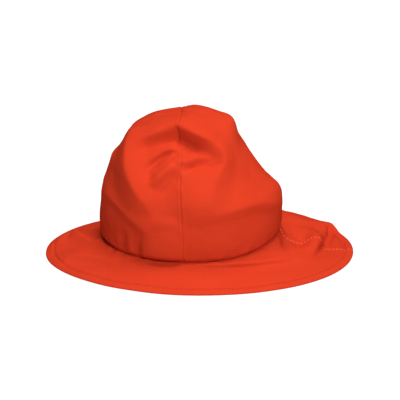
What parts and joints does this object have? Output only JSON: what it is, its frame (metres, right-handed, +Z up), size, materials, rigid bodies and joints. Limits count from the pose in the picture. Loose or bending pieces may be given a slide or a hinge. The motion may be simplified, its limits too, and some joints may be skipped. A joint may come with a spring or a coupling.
{
  "type": "sou'wester rain hat",
  "caption": "Soft sou'wester rain hat of coated cloth: a sewn panelled crown on a wide sloping brim that is longer at the back, with a turned and stitched edge.",
  "frame": {"origin": "on the surface that the hat lies on, under the middle of the brim's outline", "axes": "+X towards the back of the hat, where the brim is longest, +Y towards the wearer's right, +Z up"},
  "size_m": [0.336, 0.2618, 0.1684],
  "materials": {
    "coated_cloth": "cotton cloth with a smooth orange-red rubbery coating, softly shiny"
  },
  "bodies": {
    "root": {"crown_panel_back_right": "coated_cloth", "crown_panel_front_right": "coated_cloth", "crown_panel_front_left": "coated_cloth", "crown_panel_back_left": "coated_cloth", "brim": "coated_cloth"}
  },
  "joints": []
}
